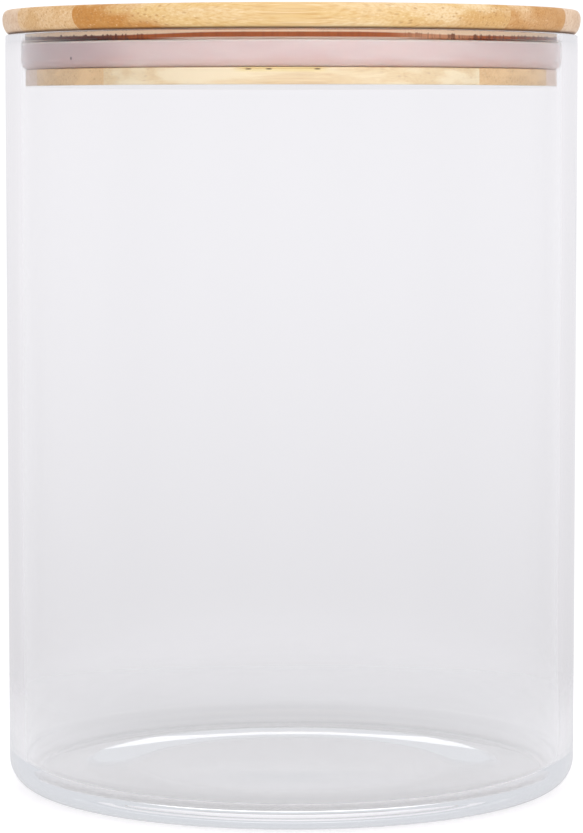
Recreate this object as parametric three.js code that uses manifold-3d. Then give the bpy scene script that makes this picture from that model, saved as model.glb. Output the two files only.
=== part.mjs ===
// Glass storage canister with a push-in bamboo lid, in millimetres, +Z up.
// The origin is the centre of the surface that the jar stands on.
//
// The jar is blown glass with rounded edges at its mouth. The lid is one bamboo board, glued up
// edge to edge from strips and then turned round: a flange that rests on the mouth, and
// under it a plug with a groove round it, which holds a silicone ring.

import * as THREE from "three";
import { mergeVertices } from "three/addons/utils/BufferGeometryUtils.js";
import Module from "manifold-3d";

// Driving dimensions
const SEGMENTS = 96; // facets round every turned piece
const GAP = 0.3; // left between pieces that touch

const JAR_RADIUS = 75;
const JAR_WALL = 4;
const JAR_HEIGHT = 197.6; // to the top of the mouth
const MOUTH_CORNER = 0.6; // rounding of the mouth's inner and outer edges
const BASE_THICKNESS = 5;
const BASE_CORNER = 7.4; // outer rounding where the wall meets the base
const FLOOR_CORNER = 5; // inner rounding where the wall meets the floor
const FOOT_INNER_RADIUS = 58; // the foot ring's inner edge
const PUSH_UP = 1.1; // how far the underside is hollowed inside the foot ring
const PUSH_UP_RADIUS = 48; // where the hollow becomes flat

const LID_RADIUS = 75.7;
const LID_TOP = 203.9;
const FLANGE_BOTTOM = JAR_HEIGHT + GAP;
const FLANGE_WIDEST = 201.7; // height of the flange's widest point
const TOP_FACE_RADIUS = 74.4; // where the top face meets the flange's round side
const UNDERSIDE_RADIUS = 73.4; // where the round side meets the flange's underside
const PLUG_RADIUS = 69.6;
const PLUG_BOTTOM = 184.1;
const PLUG_CHAMFER = 0.3;
const GROOVE_RADIUS = 67.4;
const GROOVE_BOTTOM = 188.1;
const GROOVE_TOP = 195.3;

const STRIP_WIDTH = 23.1; // pitch of the glued strips
const STRIP_COUNT = 7;
const FIRST_GLUE_LINE = -52.6; // Y of the front one: the lid is cut off centre from its board

const SEAL_TOP_CORNER = 0.8; // rounding of the ring's upper outer corner
const SEAL_FOOT_CORNER = 2.4; // and of its lower one, which leads the lid into the jar

// Materials
const glass = () => new THREE.MeshStandardMaterial({
  color: 0xeef2f2, roughness: 0.02, metalness: 0, transparent: true, opacity: 0.3,
});
const silicone = () => new THREE.MeshStandardMaterial({
  color: 0xd9c9c7, roughness: 0.45, metalness: 0,
});
const BAMBOO_TONES = [0xd9b184, 0xe6c592, 0xcf9c5f, 0xecd6a2, 0xd3a468, 0xe0bd8b, 0xdcb27a];
const bamboo = (index) => new THREE.MeshStandardMaterial({
  color: BAMBOO_TONES[index % BAMBOO_TONES.length], roughness: 0.5, metalness: 0,
});

// Points on an elliptical arc about (r, z), from one angle to another in degrees,
// both ends included.
function arc(r, z, radiusR, radiusZ, from, to, steps) {
  return Array.from({ length: steps + 1 }, (_, i) => {
    const angle = THREE.MathUtils.degToRad(from + ((to - from) * i) / steps);
    return new THREE.Vector2(r + radiusR * Math.cos(angle), z + radiusZ * Math.sin(angle));
  });
}

const point = (r, z) => new THREE.Vector2(r, z);

// A solid turned about Z. The profile runs anticlockwise, with the axis on its left.
function turned(profile) {
  return new THREE.LatheGeometry(profile, SEGMENTS).rotateX(Math.PI / 2);
}

function jarGeometry() {
  const inner = JAR_RADIUS - JAR_WALL;
  const lip = JAR_HEIGHT - MOUTH_CORNER;
  return turned([
    point(0, PUSH_UP),
    point(PUSH_UP_RADIUS, PUSH_UP),
    point(FOOT_INNER_RADIUS, 0),
    ...arc(JAR_RADIUS - BASE_CORNER, BASE_CORNER, BASE_CORNER, BASE_CORNER, -90, 0, 6),
    ...arc(JAR_RADIUS - MOUTH_CORNER, lip, MOUTH_CORNER, MOUTH_CORNER, 0, 90, 4),
    ...arc(inner + MOUTH_CORNER, lip, MOUTH_CORNER, MOUTH_CORNER, 90, 180, 4),
    ...arc(inner - FLOOR_CORNER, BASE_THICKNESS + FLOOR_CORNER, FLOOR_CORNER, FLOOR_CORNER, 0, -90, 5),
    point(0, BASE_THICKNESS),
  ]);
}

function sealGeometry() {
  const outer = JAR_RADIUS - JAR_WALL - GAP;
  const inner = GROOVE_RADIUS + GAP;
  const bottom = GROOVE_BOTTOM + GAP;
  const top = GROOVE_TOP - GAP;
  const [head, foot] = [SEAL_TOP_CORNER, SEAL_FOOT_CORNER];
  return turned([
    point(inner, bottom),
    ...arc(outer - foot, bottom + foot, foot, foot, -90, 0, 5),
    ...arc(outer - head, top - head, head, head, 0, 90, 3),
    point(inner, top),
    point(inner, bottom),
  ]);
}

function lidGeometry() {
  const topRounding = LID_RADIUS - TOP_FACE_RADIUS;
  const footRounding = LID_RADIUS - UNDERSIDE_RADIUS;
  return turned([
    point(0, PLUG_BOTTOM),
    point(PLUG_RADIUS - PLUG_CHAMFER, PLUG_BOTTOM),
    point(PLUG_RADIUS, PLUG_BOTTOM + PLUG_CHAMFER),
    point(PLUG_RADIUS, GROOVE_BOTTOM - PLUG_CHAMFER),
    point(PLUG_RADIUS - PLUG_CHAMFER, GROOVE_BOTTOM),
    point(GROOVE_RADIUS, GROOVE_BOTTOM),
    point(GROOVE_RADIUS, GROOVE_TOP),
    point(PLUG_RADIUS - PLUG_CHAMFER, GROOVE_TOP),
    point(PLUG_RADIUS, GROOVE_TOP + PLUG_CHAMFER),
    point(PLUG_RADIUS, FLANGE_BOTTOM),
    ...arc(UNDERSIDE_RADIUS, FLANGE_WIDEST, footRounding, FLANGE_WIDEST - FLANGE_BOTTOM, -90, 0, 6),
    ...arc(TOP_FACE_RADIUS, FLANGE_WIDEST, topRounding, LID_TOP - FLANGE_WIDEST, 0, 90, 4).slice(1),
    point(0, LID_TOP),
  ]);
}

// Booleans
const wasm = await Module();
wasm.setup();

function toSolid(geometry) {
  const bare = geometry.clone();
  bare.deleteAttribute("normal");
  bare.deleteAttribute("uv");
  const merged = mergeVertices(bare);
  return new wasm.Manifold(new wasm.Mesh({
    numProp: 3,
    vertProperties: Float32Array.from(merged.attributes.position.array),
    triVerts: Uint32Array.from(merged.index.array),
  }));
}

function toGeometry(solid) {
  const mesh = solid.getMesh();
  const geometry = new THREE.BufferGeometry();
  geometry.setAttribute("position", new THREE.BufferAttribute(mesh.vertProperties, 3));
  geometry.setIndex(new THREE.BufferAttribute(mesh.triVerts, 1));
  geometry.computeVertexNormals();
  return geometry;
}

// The lid's board cut along its glue lines, which run along X. The first and the last
// strip reach to the rim.
function stripGeometries() {
  const lid = toSolid(lidGeometry());
  const reach = 3 * LID_TOP; // more than the lid's width, and past its top and bottom
  return Array.from({ length: STRIP_COUNT }, (_, i) => {
    const glueLine = FIRST_GLUE_LINE + i * STRIP_WIDTH;
    const front = i === 0 ? -reach : glueLine - STRIP_WIDTH + GAP / 2;
    const back = i === STRIP_COUNT - 1 ? reach : glueLine - GAP / 2;
    const slab = new THREE.BoxGeometry(reach, back - front, reach);
    slab.translate(0, (front + back) / 2, 0);
    return toGeometry(lid.intersect(toSolid(slab)));
  });
}

// Assembly
const canister = new THREE.Group();

function add(name, geometry, material) {
  const mesh = new THREE.Mesh(geometry, material);
  mesh.name = name;
  canister.add(mesh);
}

add("glass_jar", jarGeometry(), glass());
add("silicone_seal", sealGeometry(), silicone());
stripGeometries().forEach((geometry, i) => {
  add(`lid_strip_${i + 1}`, geometry, bamboo(i));
});

export default canister;
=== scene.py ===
"""A lidded glass canister: a clear jar, and a laminated bamboo lid with a silicone ring."""

import math
import random

import bmesh
import bpy
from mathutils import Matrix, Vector


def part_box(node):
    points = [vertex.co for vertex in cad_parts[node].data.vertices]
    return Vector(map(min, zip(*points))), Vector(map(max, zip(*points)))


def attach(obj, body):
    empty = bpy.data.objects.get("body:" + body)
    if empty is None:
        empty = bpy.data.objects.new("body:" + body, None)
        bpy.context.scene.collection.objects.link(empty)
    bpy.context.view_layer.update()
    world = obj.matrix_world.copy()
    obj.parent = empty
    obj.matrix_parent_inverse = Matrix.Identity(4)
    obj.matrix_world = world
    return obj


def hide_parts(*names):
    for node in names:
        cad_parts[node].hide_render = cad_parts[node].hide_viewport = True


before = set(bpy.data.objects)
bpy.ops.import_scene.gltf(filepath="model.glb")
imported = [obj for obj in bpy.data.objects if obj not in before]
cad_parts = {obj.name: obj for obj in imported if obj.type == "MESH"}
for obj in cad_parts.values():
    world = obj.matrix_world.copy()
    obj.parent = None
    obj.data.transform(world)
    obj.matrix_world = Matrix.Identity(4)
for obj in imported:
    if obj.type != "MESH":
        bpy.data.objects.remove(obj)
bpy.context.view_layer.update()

MM = 0.001
TOUCHING = 0.3 * MM  # the clearance that the CAD leaves between pieces that touch
HAIR = 0.05 * MM  # what is left of it here

# Camera: the photograph's view, from a little below the lid's height and tilted down
CAMERA_DISTANCE = 0.934
CAMERA_HEIGHT = 0.1745
CAMERA_TILT = math.radians(4.73)
CAMERA_LENS = 152.8
SENSOR = 36.0

LIGHTS_AIM = 0.12  # the height on the axis that the lights face

# Resolution of the fine meshes
SEGMENTS = 288
ARC_STEP = math.radians(7)


# ---------------------------------------------------------------- places, from the frame
jar_low, jar_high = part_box("glass_jar")
seal_low, seal_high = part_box("silicone_seal")
STRIPS = sorted(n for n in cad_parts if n.startswith("lid_strip_"))
strip_boxes = [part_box(n) for n in STRIPS]

JAR_RADIUS = jar_high.x
JAR_TOP = jar_high.z
WALL_INNER = seal_high.x + TOUCHING
LID_RADIUS = max(high.x for low, high in strip_boxes)
LID_TOP = max(high.z for low, high in strip_boxes)
PLUG_BOTTOM = min(low.z for low, high in strip_boxes)
GROOVE_BOTTOM = seal_low.z - HAIR
GROOVE_TOP = seal_high.z + HAIR
FLANGE_BOTTOM = JAR_TOP + HAIR

# Shapes that the boxes don't give
BASE_CORNER = 7.4 * MM
BASE_THICKNESS = 5.0 * MM
FLOOR_CORNER = 5.0 * MM
FOOT_INNER = 58.0 * MM
PUSH_UP = 1.1 * MM
FLOOR_DOME = 0.5 * MM
PLUG_RADIUS = 69.6 * MM
GROOVE_RADIUS = 67.4 * MM
TOP_FACE_RADIUS = 74.4 * MM
UNDERSIDE_RADIUS = 73.4 * MM
FLANGE_WIDEST = 201.7 * MM
PLUG_EDGE = 0.35 * MM
MOUTH_CORNER = 0.4 * MM
MOUTH_CROWN = 0.06 * MM  # how far the top of the mouth is domed by fire polishing
LIP_HEIGHT = 2.4 * MM  # the fire-polished band round the mouth, a little slimmer than the wall
LIP_STEP = 0.04 * MM
LIP_EASE = 0.4 * MM  # the height over which the step runs
SEAL_TOP_CORNER = 0.6 * MM
SEAL_FOOT_CORNER = 2.4 * MM


# ---------------------------------------------------------------- outlines
def arc(r, z, radius_r, radius_z, start, end):
    """Points on an elliptical arc about (r, z), angles in degrees, both ends included."""
    start, end = math.radians(start), math.radians(end)
    steps = max(2, math.ceil(abs(end - start) / ARC_STEP))
    angles = [start + (end - start) * i / steps for i in range(steps + 1)]
    return [(r + radius_r * math.cos(a), z + radius_z * math.sin(a)) for a in angles]


def run(start, end, step):
    """Points between two outline points, ends left out, no more than a step apart."""
    count = math.ceil(math.dist(start, end) / step)
    return [
        tuple(a + (b - a) * i / count for a, b in zip(start, end)) for i in range(1, count)
    ]


def ease(t):
    """0 to 1, level at both ends."""
    return 0.5 - 0.5 * math.cos(math.pi * min(max(t, 0.0), 1.0))


def jar_outline():
    """Underside, outer wall, rounded mouth, inner wall and floor, from axis to axis."""
    underside_steps, lip_steps, floor_steps = 14, 4, 10
    hollow_start = 40 * MM
    underside = [(0, PUSH_UP), (hollow_start / 2, PUSH_UP)]
    for i in range(underside_steps + 1):
        t = i / underside_steps
        radius = hollow_start + (FOOT_INNER - hollow_start) * t
        underside.append((radius, PUSH_UP * (1 - ease(t))))
    base = arc(JAR_RADIUS - BASE_CORNER, BASE_CORNER, BASE_CORNER, BASE_CORNER, -90, 0)
    lip, edge, crown = MOUTH_CORNER, MOUTH_CORNER - MOUTH_CROWN, JAR_TOP - MOUTH_CORNER
    lip_shares = [i / lip_steps for i in range(lip_steps + 1)]
    mouth = (
        [(JAR_RADIUS - LIP_STEP * ease(t), JAR_TOP - LIP_HEIGHT + LIP_EASE * t) for t in lip_shares]
        + arc(JAR_RADIUS - LIP_STEP - lip, crown, lip, edge, 0, 84)
        + [((JAR_RADIUS + WALL_INNER) / 2, JAR_TOP)]
        + arc(WALL_INNER + lip, crown, lip, edge, 96, 180)
    )
    corner = arc(
        WALL_INNER - FLOOR_CORNER, BASE_THICKNESS + FLOOR_CORNER, FLOOR_CORNER, FLOOR_CORNER, 0, -90
    )
    floor_radius = WALL_INNER - FLOOR_CORNER
    floor_shares = [i / floor_steps for i in range(1, floor_steps + 1)]
    floor = [(floor_radius * (1 - t), BASE_THICKNESS + FLOOR_DOME * ease(t)) for t in floor_shares]
    wall_step = 6 * MM
    return (
        underside + base + run(base[-1], mouth[0], wall_step) + mouth
        + run(mouth[-1], corner[0], wall_step) + corner + floor
    )


def seal_outline():
    """A closed loop: flat back, a rounded lead-in below and a small rounding above."""
    outer = WALL_INNER - 2 * HAIR
    inner = GROOVE_RADIUS + HAIR
    low, high = seal_low.z, seal_high.z
    foot, head, back = SEAL_FOOT_CORNER, SEAL_TOP_CORNER, 0.3 * MM
    step = 1.2 * MM
    corners = (
        arc(inner + back, low + back, back, back, 180, 270),
        arc(outer - foot, low + foot, foot, foot, -90, 0),
        arc(outer - head, high - head, head, head, 0, 90),
        arc(inner + back, high - back, back, back, 90, 180),
    )
    points = []
    for i, corner in enumerate(corners):
        points += corner + run(corner[-1], corners[(i + 1) % 4][0], step)
    return points


def lid_outline():
    """Underside of the plug, groove, flange and top face, from axis to axis."""
    e = PLUG_EDGE
    plug = PLUG_RADIUS - e
    top = LID_TOP - FLANGE_WIDEST
    side = FLANGE_WIDEST - FLANGE_BOTTOM
    centre_step = 8 * MM
    first = arc(plug, PLUG_BOTTOM + e, e, e, -90, 0)
    last = arc(TOP_FACE_RADIUS, FLANGE_WIDEST, LID_RADIUS - TOP_FACE_RADIUS, top, 0, 90)
    return (
        [(0, PLUG_BOTTOM)] + run((0, PLUG_BOTTOM), first[0], centre_step)
        + first
        + arc(plug, GROOVE_BOTTOM - e, e, e, 0, 90)
        + [(GROOVE_RADIUS, GROOVE_BOTTOM), (GROOVE_RADIUS, GROOVE_TOP)]
        + arc(plug, GROOVE_TOP + e, e, e, -90, 0)
        + [(PLUG_RADIUS, FLANGE_BOTTOM)]
        + arc(UNDERSIDE_RADIUS, FLANGE_WIDEST, LID_RADIUS - UNDERSIDE_RADIUS, side, -90, 0)
        + last[1:]
        + run(last[-1], (0, LID_TOP), centre_step) + [(0, LID_TOP)]
    )


# ---------------------------------------------------------------- meshes
def turn(outline, closed=False):
    """A bmesh turned about Z. The outline runs anticlockwise, with the axis on its left."""
    bm = bmesh.new()
    rings = []
    for r, z in outline:
        if r < 1e-9:
            rings.append([bm.verts.new((0, 0, z))])
            continue
        angles = (2 * math.pi * i / SEGMENTS for i in range(SEGMENTS))
        rings.append([bm.verts.new((r * math.cos(a), r * math.sin(a), z)) for a in angles])
    pairs = list(zip(rings, rings[1:] + rings[:1]))
    for low, high in pairs if closed else pairs[:-1]:
        for i in range(SEGMENTS):
            j = (i + 1) % SEGMENTS
            corners = [low[i % len(low)], low[j % len(low)], high[j % len(high)], high[i % len(high)]]
            bm.faces.new(list(dict.fromkeys(corners)))
    bmesh.ops.recalc_face_normals(bm, faces=bm.faces)
    return bm


def piece(name, bm, body, node, sharp=35):
    """Makes a bmesh a piece of the object that rides on a body and stands for a CAD node."""
    mesh = bpy.data.meshes.new(name)
    bm.to_mesh(mesh)
    bm.free()
    mesh.shade_smooth()
    mesh.set_sharp_from_angle(angle=math.radians(sharp))
    obj = bpy.data.objects.new(name, mesh)
    bpy.context.scene.collection.objects.link(obj)
    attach(obj, body)
    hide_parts(node)
    return obj


def blown(bm):
    """Gives the jar's wall the faint waves of blown glass, strongest on the inside."""
    rng = random.Random(11)
    waves = [(n, rng.uniform(0, math.tau), rng.uniform(0, math.tau)) for n in (2, 3, 5, 7, 11)]
    low, high = BASE_CORNER, GROOVE_BOTTOM - 12 * MM
    outside, inside = 0.02 * MM, 0.07 * MM
    for v in bm.verts:
        radius = math.hypot(v.co.x, v.co.y)
        if radius < WALL_INNER - FLOOR_CORNER or not low < v.co.z < high:
            continue
        angle = math.atan2(v.co.y, v.co.x)
        height = (v.co.z - low) / (high - low)
        wave = sum(
            math.sin(n * angle + a + 2.2 * math.sin(3 * height + b)) / n for n, a, b in waves
        )
        depth = outside if radius > WALL_INNER + MM else inside
        grown = 1 + depth * math.sin(math.pi * height) * wave / radius
        v.co.x *= grown
        v.co.y *= grown
    return bm


def cut(bm, y, keep):
    """Cuts off what lies beyond the plane at y, on the side away from keep, and closes the cut."""
    side = 1 if y > keep else -1
    geometry = bm.verts[:] + bm.edges[:] + bm.faces[:]
    bmesh.ops.bisect_plane(
        bm, geom=geometry, dist=1e-8, plane_co=(0, y, 0), plane_no=(0, side, 0), clear_outer=True
    )
    bmesh.ops.contextual_create(bm, geom=[e for e in bm.edges if e.is_boundary])
    bmesh.ops.recalc_face_normals(bm, faces=bm.faces)


def strip_mesh(low, high):
    """One strip of the lid's board, between its glue lines."""
    bm = turn(lid_outline())
    middle = (low + high) / 2
    for y in (low, high):
        if abs(y) < LID_RADIUS - MM:
            cut(bm, y, middle)
    return bm


# ---------------------------------------------------------------- materials
class Nodes:
    """Short ways to add nodes to a tree."""

    def __init__(self, tree):
        self.tree = tree

    def link(self, source, target):
        self.tree.links.new(source, target)

    def node(self, kind, inputs=None, **settings):
        """A new node. Each input is a number, a tuple or another node's output."""
        node = self.tree.nodes.new(kind)
        for key, value in settings.items():
            setattr(node, key, value)
        for key, value in (inputs or {}).items():
            if isinstance(value, bpy.types.NodeSocket):
                self.link(value, node.inputs[key])
            else:
                node.inputs[key].default_value = value
        return node

    def maths(self, operation, *values):
        return self.node("ShaderNodeMath", dict(enumerate(values)), operation=operation).outputs[0]

    def plus(self, a, b):
        return self.maths("ADD", a, b)

    def minus(self, a, b):
        return self.maths("SUBTRACT", a, b)

    def times(self, a, b):
        return self.maths("MULTIPLY", a, b)

    def away(self, value, centre=0.0):
        """How far value is from centre."""
        return self.maths("ABSOLUTE", self.minus(value, centre))

    def shifted(self, value, noise, width):
        """value moved by noise, up to half of width either way."""
        return self.plus(value, self.times(self.minus(noise, 0.5), width))

    def ramp(self, value, low, high, low_to=0.0, high_to=1.0):
        """A smooth step from low_to at low to high_to at high."""
        return self.node(
            "ShaderNodeMapRange",
            {"Value": value, "From Min": low, "From Max": high, "To Min": low_to, "To Max": high_to},
            interpolation_type="SMOOTHSTEP",
        ).outputs["Result"]

    def belt(self, value, low, high, most=1.0):
        """most between the two edges, each given as where it starts and ends, and 0 outside."""
        return self.times(self.ramp(value, *low, 0.0, most), self.ramp(value, *high, 1.0, 0.0))

    def mix(self, share, a, b, blend="MIX"):
        node = self.node("ShaderNodeMix", data_type="RGBA", blend_type=blend)
        sockets = {"Factor_Float": share, "A_Color": a, "B_Color": b}
        for socket in node.inputs:
            value = sockets.get(socket.identifier)
            if isinstance(value, bpy.types.NodeSocket):
                self.link(value, socket)
            elif value is not None:
                socket.default_value = value
        return next(s for s in node.outputs if s.identifier == "Result_Color")

    def stretched(self, vector, scale, offset=(0, 0, 0)):
        node = self.node("ShaderNodeMapping", {"Vector": vector, "Scale": scale, "Location": offset})
        return node.outputs[0]

    def noise(self, vector, scale=1.0, detail=3.0, roughness=0.5, distortion=0.0):
        settings = {"Scale": scale, "Detail": detail, "Roughness": roughness, "Distortion": distortion}
        return self.node("ShaderNodeTexNoise", {"Vector": vector, **settings}).outputs["Fac"]


class Shader(Nodes):
    """A material with one Principled surface."""

    def __init__(self, name):
        self.material = bpy.data.materials.new(name)
        self.material.use_nodes = True
        super().__init__(self.material.node_tree)
        self.surface = self.tree.nodes["Principled BSDF"]
        self.output = self.tree.nodes["Material Output"]

    def millimetres(self):
        """The piece's own coordinates in millimetres, as a vector and as x, y and z."""
        place = self.node("ShaderNodeTexCoord").outputs["Object"]
        scaled = self.node("ShaderNodeVectorMath", {0: place, 3: 1 / MM}, operation="SCALE").outputs[0]
        return scaled, self.node("ShaderNodeSeparateXYZ", {0: scaled}).outputs

    def set(self, **values):
        """Sets the surface's sockets. Underscores stand for spaces."""
        for key, value in values.items():
            socket = self.surface.inputs[key.replace("_", " ")]
            if isinstance(value, bpy.types.NodeSocket):
                self.link(value, socket)
            else:
                socket.default_value = value

    def bump(self, height, strength, distance):
        node = self.node("ShaderNodeBump", {"Height": height, "Strength": strength, "Distance": distance})
        self.link(node.outputs[0], self.surface.inputs["Normal"])


def rgb(red, green, blue):
    """A colour as seen on screen, 0 to 255, in the linear values that sockets take."""
    def linear(c):
        c /= 255
        return c / 12.92 if c <= 0.04045 else ((c + 0.055) / 1.055) ** 2.4
    return (linear(red), linear(green), linear(blue), 1.0)


def mm(length):
    """A length in millimetres, as the materials take it."""
    return length / MM


# Bamboo's colours
PALE = rgb(255, 242, 210)
CARAMEL = rgb(200, 140, 66)
FIBRE = rgb(252, 230, 194)
PORE = rgb(176, 122, 66)
NODE = rgb(168, 116, 64)
SHADED_EDGE = rgb(112, 66, 30)
# A painted highlight on the plug's underside
UNDERSIDE_HIGHLIGHT = rgb(255, 252, 248)
RESIN = rgb(238, 212, 120)
TORN_LINE = rgb(186, 136, 52)
TORN_PIT = rgb(84, 38, 6)

# The neck's colours: painted shade for its recess, painted light at its top and a painted highlight along
# the ring
NECK_SHADE = rgb(180, 88, 18)
DEEPEST_NECK_SHADE = rgb(92, 28, 0)
LIGHTER_NECK_SHADE = rgb(222, 166, 124)
STREAK = rgb(92, 36, 6)
LIT_NECK = rgb(255, 226, 192)
GROOVE_HIGHLIGHT = rgb(255, 240, 222)

# The silicone's colours
MILKY, MILKIER = rgb(229, 206, 202), rgb(235, 214, 209)
BROWNER_FOOT = rgb(226, 186, 172)
# Painted shade for the ring's left end
LEFT_END_SHADE = rgb(176, 152, 160)
LIT_TOP = rgb(255, 240, 230)
DUST = rgb(150, 132, 130)
SPECK_COLOUR = rgb(70, 54, 58)
SPECK = (-53.4, -46.3, 190.8)  # a dark speck moulded into the silicone, in millimetres

# The glow that stands in for light caught in the glass, and the reflections it starts after:
# the renderer follows four, and would leave the rest black
CAUGHT_LIGHT = 0.38
CAUGHT_AFTER = 3.5


def glass_material():
    """Clear glass. Light caught between its walls comes out as the soft grey of its thick base."""
    s = Shader("clear_glass")
    place, (_, _, z) = s.millimetres()
    ripple = s.noise(s.stretched(place, (0.05, 0.05, 0.012)), detail=2.0)
    haze = s.noise(s.stretched(place, (0.03, 0.03, 0.02)), detail=4.0, roughness=0.6)
    reflections = s.node("ShaderNodeLightPath").outputs["Glossy Depth"]
    caught = s.maths("GREATER_THAN", reflections, CAUGHT_AFTER)
    s.set(
        Base_Color=(0.985, 0.99, 0.99, 1.0), Transmission_Weight=1.0, IOR=1.474,
        Roughness=s.ramp(haze, 0.45, 0.75, 0.0, 0.03),
        Emission_Color=(0.93, 0.95, 1.0, 1.0), Emission_Strength=s.times(caught, CAUGHT_LIGHT),
    )
    s.material.cycles.emission_sampling = "NONE"
    s.bump(ripple, s.ramp(z, 6.0, 18.0, 0.0, 0.2), 0.4 * MM)
    absorb = s.node("ShaderNodeVolumeAbsorption", {"Color": (0.86, 0.90, 0.92, 1.0), "Density": 1.5})
    s.link(absorb.outputs[0], s.output.inputs["Volume"])
    return s.material


def silicone_material():
    """Milky, a little pink, and browner towards its foot, with painted shade towards its left end and a
    painted highlight along its top.
    """
    s = Shader("translucent_silicone")
    place, (x, _, z) = s.millimetres()
    bottom, top = mm(seal_low.z), mm(seal_high.z)
    cloud = s.noise(s.stretched(place, (0.05, 0.05, 0.2)), detail=3.0)
    dust = s.noise(place, scale=1.6, detail=1.0)
    foot = s.shifted(z, cloud, 5.0)
    mark = s.node("ShaderNodeVectorMath", {0: place, 1: SPECK}, operation="DISTANCE").outputs["Value"]
    base = s.mix(s.ramp(cloud, 0.35, 0.7), MILKY, MILKIER)
    base = s.mix(s.ramp(foot, bottom, bottom + 3.0, 0.55, 0.0), base, BROWNER_FOOT)
    # Painted shade: darker towards the left end
    base = s.mix(s.ramp(x, -36.0, -52.0, 0.0, 0.3), base, LEFT_END_SHADE)
    base = s.mix(s.ramp(z, top - 0.6, top - 0.2, 0.0, 0.8), base, LIT_TOP)
    base = s.mix(s.ramp(dust, 0.80, 0.84, 0.0, 0.4), base, DUST)
    base = s.mix(s.ramp(mark, 0.25, 0.6, 0.8, 0.0), base, SPECK_COLOUR)
    s.set(
        Base_Color=base, Roughness=s.ramp(cloud, 0.3, 0.8, 0.38, 0.5),
        Subsurface_Weight=0.6, Subsurface_Radius=(1.0, 0.75, 0.7), Subsurface_Scale=0.003,
        Transmission_Weight=0.05, IOR=1.41,
    )
    s.bump(s.noise(place, scale=3.0, detail=2.0), 0.12, 0.1 * MM)
    return s.material


def grain(s, place, seed):
    """Bamboo's pattern, fibres along X: bundles cut across as dots, fine fibres, broad bands."""
    offset = (seed * 7.3, seed * 3.1, seed * 5.7)
    bundles = s.node(
        "ShaderNodeTexVoronoi",
        {"Vector": s.stretched(place, (0.018, 1.15, 0.95), offset), "Scale": 1.0, "Randomness": 0.85},
        feature="F1",
    ).outputs["Distance"]
    dots = s.ramp(bundles, 0.10, 0.34, 1.0, 0.0)
    fibres = s.noise(s.stretched(place, (0.035, 2.6, 2.6), offset), detail=5.0, roughness=0.62)
    bands = s.noise(s.stretched(place, (0.02, 0.16, 0.3), offset), detail=3.0, distortion=0.4)
    return dots, fibres, bands


def steamed(s, x, z, bands, colour, patches):
    """The brown of steamed bamboo over stretches of X, with slanting and wandering edges."""
    level, slant, wander = mm(FLANGE_WIDEST) - 0.2, 3.0, 40.0
    on_plug = 0.16  # the share that shows on the plug
    for start, end, most in patches:
        sunk = s.times(s.minus(level, z), math.copysign(slant, end - start))
        edge = s.plus(s.shifted(x, bands, wander), sunk)
        higher = s.ramp(z, mm(GROOVE_BOTTOM), mm(GROOVE_TOP), on_plug, 1.0)
        colour = s.mix(s.times(s.ramp(edge, start, end, 0.0, most), higher), colour, CARAMEL)
    return colour


def growth_node(s, x, place, fibres, colour, knot):
    """A worn line across the strip, a little crooked, where a node of the cane was."""
    bend = s.noise(s.stretched(place, (0.0, 0.11, 0.11)), detail=2.0)
    away = s.away(s.shifted(x, bend, 9.0), knot)
    worn = s.times(s.ramp(away, 0.1, 2.4, 0.5, 0.0), s.ramp(fibres, 0.3, 0.62))
    return s.mix(worn, colour, NODE)


def shaded_neck(s, place, colour):
    """The neck over the ring: painted light, peach, at its top, and painted shade below.

    The shade stands for the recess between the flange, the glass's mouth and the ring. Its
    top is lower at the sides. It is darkest towards the ends, the left one most, where it runs
    up in ragged marks. A painted highlight runs along the top of the ring in front.
    """
    x, _, z = s.node("ShaderNodeSeparateXYZ", {0: place}).outputs
    radius = s.node("ShaderNodeVectorMath", {0: s.stretched(place, (1, 1, 0))}, operation="LENGTH")
    groove, flange, plug = mm(GROOVE_TOP), mm(FLANGE_BOTTOM), mm(PLUG_RADIUS)
    neck = s.times(
        s.belt(z, (groove - 0.3, groove - 0.1), (flange + 0.2, flange + 0.6)),
        s.ramp(radius.outputs["Value"], plug + 0.1, plug + 0.8, 1.0, 0.0),
    )
    aside = s.away(x)
    marks = s.noise(s.stretched(place, (1.5, 1.5, 0.1)), detail=2.0, roughness=0.7)
    towards_ends = s.maths("MAXIMUM", s.ramp(x, -34.0, -50.0), s.ramp(x, 52.0, 62.0, 0.0, 0.6))
    streaks = s.times(s.ramp(marks, 0.45, 0.62), s.ramp(aside, 26.0, 40.0, 0.2, 0.75))
    # Painted shade for the recess over the ring, darkest towards the ends
    shade_colour = s.mix(towards_ends, NECK_SHADE, DEEPEST_NECK_SHADE)
    shade_colour = s.mix(s.belt(x, (22.0, 32.0), (40.0, 47.0), 0.7), shade_colour, LIGHTER_NECK_SHADE)
    shade_colour = s.mix(streaks, shade_colour, STREAK)
    rise = s.times(s.ramp(marks, 0.48, 0.72), s.ramp(aside, 20.0, 36.0, 0.05, 0.4))
    level = s.minus(s.plus(z, s.ramp(aside, 15.0, 45.0, 0.0, 0.6)), rise)
    # Painted light: above this level the neck is peach, as if lit
    shade_top = flange - 0.7
    look = s.mix(s.ramp(level, shade_top - 0.35, shade_top), shade_colour, LIT_NECK)
    # Painted highlight along the top of the ring, over the middle of the front
    highlight_band = s.ramp(z, groove + 0.25, groove + 0.55, 0.9, 0.0)
    look = s.mix(s.times(highlight_band, s.ramp(aside, 22.0, 36.0, 1.0, 0.0)), look, GROOVE_HIGHLIGHT)
    return s.mix(neck, colour, look)


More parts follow.
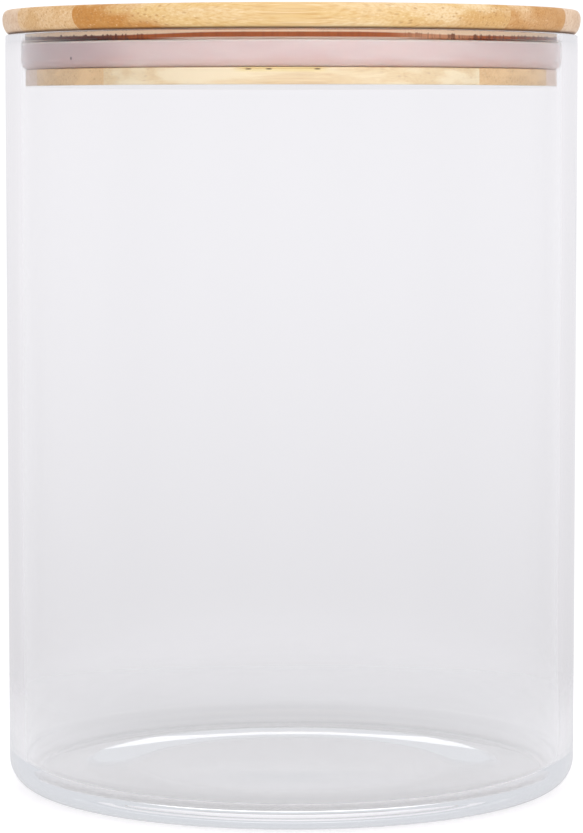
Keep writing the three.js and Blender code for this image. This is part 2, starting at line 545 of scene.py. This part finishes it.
def torn_edge(s, x, z, colour, pits):
    """Small dark pits where fibres tore out under the ring, in wood that is yellow with resin."""
    edge = mm(GROOVE_BOTTOM)
    near = s.belt(x, (-15.0, -11.0), (6.0, 10.0))
    resin = s.belt(z, (edge - 1.4, edge - 0.6), (edge, edge + 1.0), 0.5)
    line = s.ramp(s.away(z, edge - 0.4), 0.04, 0.14, 0.5, 0.0)
    band = s.ramp(s.away(z, edge - 0.5), 0.08, 0.24, 1.0, 0.0)
    colour = s.mix(s.times(near, resin), colour, RESIN)
    colour = s.mix(s.times(near, line), colour, TORN_LINE)
    for pit in pits:
        colour = s.mix(s.times(s.ramp(s.away(x, pit), 0.2, 1.0, 1.0, 0.0), band), colour, TORN_PIT)
    return colour


def bamboo_material(index, tone, deep, seed, caramel=(), plug_tone=PALE, knot=None, torn=()):
    """One strip's bamboo, with its fibres along X: streaks along the grain, dots across it.

    tone and deep are its pale and dark colours, and plug_tone is the paler colour that its plug leans to.
    caramel holds stretches of X, in millimetres, over which the flange goes over to a steamed
    brown, each with the share that it reaches. knot is where a growth node crosses the strip.
    torn holds the X of fibres that tore out along the plug's upper edge.
    """
    s = Shader(f"bamboo_{index}")
    place, (x, _, z) = s.millimetres()
    underside, flange = mm(PLUG_BOTTOM), mm(FLANGE_BOTTOM)
    dots, fibres, bands = grain(s, place, seed)
    colour = s.mix(s.ramp(bands, 0.32, 0.70), tone, deep)
    colour = steamed(s, x, z, bands, colour, caramel)
    colour = s.mix(s.ramp(fibres, 0.40, 0.72, 0.0, 0.5), colour, deep, "MULTIPLY")
    colour = s.mix(s.ramp(fibres, 0.42, 0.26, 0.0, 0.6), colour, FIBRE)
    cut_across = s.ramp(s.away(x), 12.0, 36.0, 0.18, 0.55)
    colour = s.mix(s.times(dots, cut_across), colour, PORE)
    if knot is not None:
        colour = growth_node(s, x, place, fibres, colour, knot)
    on_plug = s.ramp(z, mm(GROOVE_BOTTOM), mm(GROOVE_TOP), 1.0, 0.0)
    colour = s.mix(s.times(on_plug, s.ramp(bands, 0.4, 0.62, 0.3, 0.8)), colour, plug_tone)
    flange_edge = s.belt(z, (flange - 0.5, flange - 0.2), (flange + 0.15, flange + 0.7), 0.8)
    colour = s.mix(flange_edge, colour, SHADED_EDGE)
    colour = shaded_neck(s, place, colour)
    if torn:
        colour = torn_edge(s, x, z, colour, torn)
    # Painted highlight: the plug's underside edge is whitened, as for a grazing reflection
    colour = s.mix(s.ramp(z, underside + 0.02, underside + 0.1, 0.5, 0.0), colour, UNDERSIDE_HIGHLIGHT)
    smoother_below = s.ramp(z, underside + 0.05, underside + 0.3, 0.03, 0.6)
    s.set(
        Base_Color=colour, Specular_IOR_Level=0.3, Coat_Weight=0.03, Coat_Roughness=0.35,
        Roughness=s.maths("MINIMUM", s.ramp(fibres, 0.3, 0.75, 0.45, 0.6), smoother_below),
    )
    height = s.minus(fibres, s.times(dots, 0.5))
    s.bump(height, s.ramp(z, underside + 0.05, underside + 0.3, 0.0, 0.25), 0.12 * MM)
    return s.material


# ---------------------------------------------------------------- the object
jar = piece("jar_glass", blown(turn(jar_outline())), "jar", "glass_jar", sharp=80)
jar.data.materials.append(glass_material())

seal = piece("seal_ring", turn(seal_outline(), closed=True), "seal", "silicone_seal", sharp=60)
seal.data.materials.append(silicone_material())

# Front strip first, as the strips' numbers run
BAMBOO = [
    dict(tone=rgb(237, 212, 167), deep=rgb(229, 196, 136), seed=1,
         caramel=((-26.0, -50.0, 0.95), (36.0, 54.0, 0.4)), torn=(-10.3, -5.4, 6.2)),
    dict(tone=rgb(232, 200, 154), deep=rgb(220, 180, 124), seed=2, plug_tone=rgb(250, 216, 168),
         caramel=((44.0, 62.0, 0.6),)),
    dict(tone=rgb(236, 212, 184), deep=rgb(226, 196, 162), seed=3, plug_tone=rgb(244, 218, 204), knot=-31.0),
    dict(tone=rgb(228, 202, 164), deep=rgb(218, 184, 140), seed=4, knot=38.0),
    dict(tone=rgb(224, 194, 148), deep=rgb(210, 172, 120), seed=5, caramel=((30.0, 52.0, 0.8),)),
    dict(tone=rgb(230, 206, 164), deep=rgb(220, 188, 140), seed=6, knot=12.0),
    dict(tone=rgb(222, 190, 142), deep=rgb(208, 168, 114), seed=7),
]
closer = TOUCHING / 2 - HAIR / 2  # how far a strip grows towards each neighbour
for number, (node, (low, high), look) in enumerate(zip(STRIPS, strip_boxes, BAMBOO), 1):
    strip = piece(f"bamboo_strip_{number}", strip_mesh(low.y - closer, high.y + closer), "lid", node)
    strip.data.materials.append(bamboo_material(number, **look))


# ---------------------------------------------------------------- floor, light and camera
def floor_disc():
    """A pale floor that is white by itself, as a lit table is, and fades into the backdrop.

    It is dimmer to the glass than to the camera, so that the glass shows against it.
    """
    radius, clear_from = 0.3, 0.1
    glow, glow_to_camera = 0.43, 0.75
    clearance = 0.1 * MM
    bm = bmesh.new()
    bmesh.ops.create_circle(bm, cap_ends=True, radius=radius, segments=128)
    mesh = bpy.data.meshes.new("floor")
    bm.to_mesh(mesh)
    bm.free()
    obj = bpy.data.objects.new("floor", mesh)
    bpy.context.scene.collection.objects.link(obj)
    obj.location.z = jar_low.z - clearance
    s = Shader("white_floor")
    place, _ = s.millimetres()
    tone = s.mix(s.noise(place, scale=0.01), (0.40, 0.40, 0.41, 1.0), (0.42, 0.42, 0.43, 1.0))
    away = s.node("ShaderNodeVectorMath", {0: place}, operation="LENGTH").outputs["Value"]
    seen = s.node("ShaderNodeLightPath").outputs["Is Camera Ray"]
    s.set(
        Base_Color=tone, Roughness=0.8, Emission_Color=(0.99, 0.98, 1.0, 1.0),
        Emission_Strength=s.ramp(seen, 0.0, 1.0, glow, glow_to_camera),
        Alpha=s.ramp(away, clear_from / MM, 0.95 * radius / MM, 1.0, 0.0),
    )
    mesh.materials.append(s.material)


def studio_world():
    """A pale studio all round, a little darker below and between its eight soft panels.

    The glass shows it. What it mirrors from the front is the dim room behind the camera, and
    the backdrop is plain white. The light that falls on the object comes mostly from the
    front, and more of it goes in through the glass, which would pass the lamps' light too.
    """
    world = bpy.data.worlds.new("studio")
    world.use_nodes = True
    bpy.context.scene.world = world
    world.node_tree.nodes.clear()
    w = Nodes(world.node_tree)
    ways = w.node("ShaderNodeTexCoord").outputs["Generated"]
    x, y, z = w.node("ShaderNodeSeparateXYZ", {0: ways}).outputs
    path = w.node("ShaderNodeLightPath").outputs
    mirrored = w.maths("GREATER_THAN", path["Glossy Depth"], 0.5)
    through = w.maths("GREATER_THAN", path["Transmission Depth"], 0.5)
    lighting = w.maths("GREATER_THAN", path["Diffuse Depth"], 0.5)

    # What the glass shows: the panels, and the dim room in what it mirrors
    panel_count = 8
    wave = w.maths("COSINE", w.times(w.maths("ARCTAN2", x, y), panel_count))
    height = w.plus(w.ramp(z, -0.28, 0.0, 0.74, 1.02), w.ramp(z, -0.19, -0.30, 0.0, 0.2))
    panels = w.times(w.ramp(wave, -1.0, 0.75, 0.94, 1.0), height)
    dimmed = w.times(mirrored, w.ramp(y, 1.0, -0.4, 0.1, 0.92))
    dimmed = w.times(dimmed, w.ramp(z, -0.27, -0.19, 0.45, 1.0))
    dimmed = w.times(dimmed, w.minus(1.0, w.times(through, 0.42)))
    room = w.times(panels, w.minus(1.0, dimmed))

    # What lights the object
    facing = w.minus(w.times(x, 0.15), y)
    outer = w.ramp(facing, -0.2, 0.9, 0.8, 1.25)
    inward = w.plus(w.ramp(facing, 0.0, 1.0, -0.5, 1.1), w.ramp(facing, -0.3, -0.85, 0.0, 1.0))
    lit = w.times(outer, w.plus(1.0, w.times(through, inward)))

    strength = w.plus(w.times(lit, lighting), w.times(room, w.minus(1.0, lighting)))
    soft = w.node("ShaderNodeBackground", {"Color": (0.985, 0.965, 1.0, 1.0), "Strength": strength})
    plain = w.node("ShaderNodeBackground", {"Color": (1.0, 1.0, 1.0, 1.0), "Strength": 1.05})
    to_camera = path["Is Camera Ray"]
    both = w.node("ShaderNodeMixShader", {0: to_camera, 1: soft.outputs[0], 2: plain.outputs[0]})
    w.node("ShaderNodeOutputWorld", {"Surface": both.outputs[0]})


def softbox(name, place, size, watts):
    """A square soft light that faces the canister, and that the glass doesn't mirror."""
    light = bpy.data.lights.new(name, "AREA")
    light.size = size
    light.energy = watts
    obj = bpy.data.objects.new(name, light)
    bpy.context.scene.collection.objects.link(obj)
    obj.location = place
    towards = Vector((0, 0, LIGHTS_AIM)) - obj.location
    obj.rotation_euler = towards.to_track_quat("-Z", "Y").to_euler()
    obj.visible_glossy = False
    obj.visible_transmission = False


def camera():
    data = bpy.data.cameras.new("camera")
    data.sensor_width = SENSOR
    data.lens = CAMERA_LENS
    data.clip_start = 0.01
    obj = bpy.data.objects.new("camera", data)
    bpy.context.scene.collection.objects.link(obj)
    obj.location = (0, -CAMERA_DISTANCE, CAMERA_HEIGHT)
    obj.rotation_euler = (math.pi / 2 - CAMERA_TILT, 0, 0)
    bpy.context.scene.camera = obj


floor_disc()
studio_world()
softbox("key", place=(0.3, -1.25, 0.55), size=0.8, watts=1.6)
softbox("top", place=(0.0, 0.1, 1.3), size=1.0, watts=3.0)
camera()
bpy.context.scene.view_settings.view_transform = "Standard"
